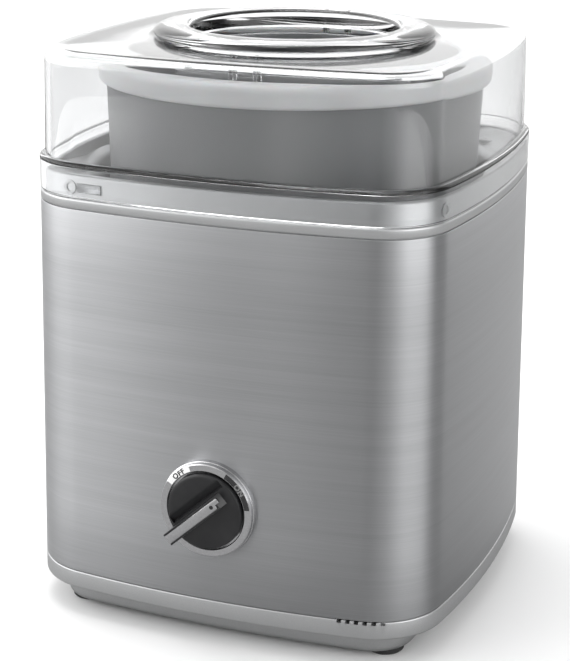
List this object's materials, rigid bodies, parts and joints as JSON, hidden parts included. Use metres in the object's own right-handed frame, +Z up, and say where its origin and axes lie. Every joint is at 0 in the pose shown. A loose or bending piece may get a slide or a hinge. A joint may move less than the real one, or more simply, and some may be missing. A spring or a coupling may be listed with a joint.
{
  "type": "ice cream maker",
  "caption": "Bench-top ice cream maker: motor-driven freezer bowl in a square steel body, clear lift-off lid with a filling spout, still mixing arm and rotary switch.",
  "frame": {"origin": "on the table at the middle of the whole outline, knob included; the axis of the bowl, turntable and lid stands 5.8 mm behind it", "axes": "+Z up along the bowl's axis, -Y out of the front face that carries the knob, +X to the right seen from the front"},
  "size_m": [0.2166, 0.2221, 0.2817],
  "materials": {
    "steel_sleeve": "fine horizontal brushing",
    "silver_plastic": "silver painted, satin",
    "chrome": "polished",
    "black_plastic": "satin black",
    "clear_plastic": "clear polished plastic",
    "arm_plastic": "clear plastic, slightly milky",
    "bowl_grey": "matte grey",
    "rim_plastic": "pale grey, slightly translucent",
    "aluminium": "spun",
    "coolant": "gel",
    "rubber": "matte",
    "machined_steel": "bright zinc",
    "laminations": "varnished steel laminations",
    "copper": "enamelled copper wire",
    "bronze": "sintered",
    "nylon": "natural",
    "dark_plastic": "matte",
    "brown_wire": "insulation",
    "red_wire": "insulation",
    "blue_wire": "insulation"
  },
  "bodies": {
    "housing": {"base_pan": "silver_plastic", "foot_front_left": "rubber", "foot_front_right": "rubber", "foot_rear_left": "rubber", "foot_rear_right": "rubber", "base_screws": "machined_steel", "body_sleeve": "steel_sleeve", "top_housing": "silver_plastic", "bowl_well": "silver_plastic", "well_base": "silver_plastic", "cord_gland": "rubber", "terminal_block": "nylon", "knob_bezel": "chrome", "switch_body": "dark_plastic", "switch_nut": "machined_steel", "gearbox_lower_plate": "machined_steel", "gearbox_upper_plate": "machined_steel", "gearbox_posts": "machined_steel", "gearbox_screws": "machined_steel", "first_axle": "machined_steel", "second_axle": "machined_steel", "lower_bush": "bronze", "upper_bush": "bronze", "shaft_seal": "rubber", "stator_core": "laminations", "coil_bobbin": "nylon", "coil_winding": "copper", "motor_upper_bracket": "machined_steel", "motor_lower_bracket": "machined_steel", "motor_upper_bush": "bronze", "motor_lower_bush": "bronze", "motor_screws": "machined_steel", "live_lead": "brown_wire", "switched_lead": "red_wire", "neutral_lead": "blue_wire"},
    "knob": {"switch_spindle": "machined_steel", "knob_dial": "black_plastic", "knob_pointer": "chrome"},
    "turntable": {"output_gear": "nylon", "output_shaft": "machined_steel", "shaft_clip": "machined_steel", "turntable": "dark_plastic"},
    "first_gear": {"first_gear": "nylon"},
    "second_gear": {"second_gear": "nylon"},
    "rotor": {"rotor_core": "laminations", "rotor_shaft": "machined_steel", "motor_pinion": "bronze", "cooling_fan": "dark_plastic"},
    "bowl": {"bowl_shell": "bowl_grey", "bowl_liner": "aluminium", "bowl_rim": "rim_plastic", "bowl_drive_plate": "dark_plastic", "coolant_gel": "coolant"},
    "mixing_arm": {"mixing_arm": "arm_plastic"},
    "lid": {"lid_shell": "clear_plastic", "lid_top": "clear_plastic", "spout_ring": "clear_plastic"}
  },
  "joints": [
    {"name": "knob_turn", "type": "hinge", "parent": "housing", "child": "knob", "pos_m": [0, -0.1012, 0.0705], "axis": [0, 1, 0], "range_deg": [0, 93]},
    {"name": "bowl_spin", "type": "hinge", "parent": "housing", "child": "turntable", "pos_m": [0, 0.0058, 0.1], "axis": [0, 0, 1], "continuous": true},
    {"name": "second_gear_spin", "type": "hinge", "parent": "housing", "child": "second_gear", "pos_m": [0, 0.05205, 0.08], "axis": [0, 0, 1], "continuous": true},
    {"name": "first_gear_spin", "type": "hinge", "parent": "housing", "child": "first_gear", "pos_m": [-0.033, 0.05205, 0.075], "axis": [0, 0, 1], "continuous": true},
    {"name": "motor_spin", "type": "hinge", "parent": "housing", "child": "rotor", "pos_m": [-0.033, 0.02565, 0.04], "axis": [0, 0, 1], "continuous": true},
    {"name": "lid_lift", "type": "slide", "parent": "housing", "child": "lid", "axis": [0, 0, 1], "range_m": [0, 0.37]},
    {"name": "arm_lift", "type": "slide", "parent": "housing", "child": "mixing_arm", "axis": [0, 0, 1], "range_m": [0, 0.29]},
    {"name": "bowl_lift", "type": "slide", "parent": "turntable", "child": "bowl", "axis": [0, 0, 1], "range_m": [0, 0.13]}
  ],
  "couplings": [
    {"joint": "second_gear_spin", "follows": "bowl_spin", "ratio": -4.2857},
    {"joint": "first_gear_spin", "follows": "bowl_spin", "ratio": 19.286},
    {"joint": "motor_spin", "follows": "bowl_spin", "ratio": -86.786},
    {"joint": "arm_lift", "follows": "lid_lift", "ratio": 0.7837},
    {"joint": "bowl_lift", "follows": "lid_lift", "ratio": 0.3513}
  ]
}
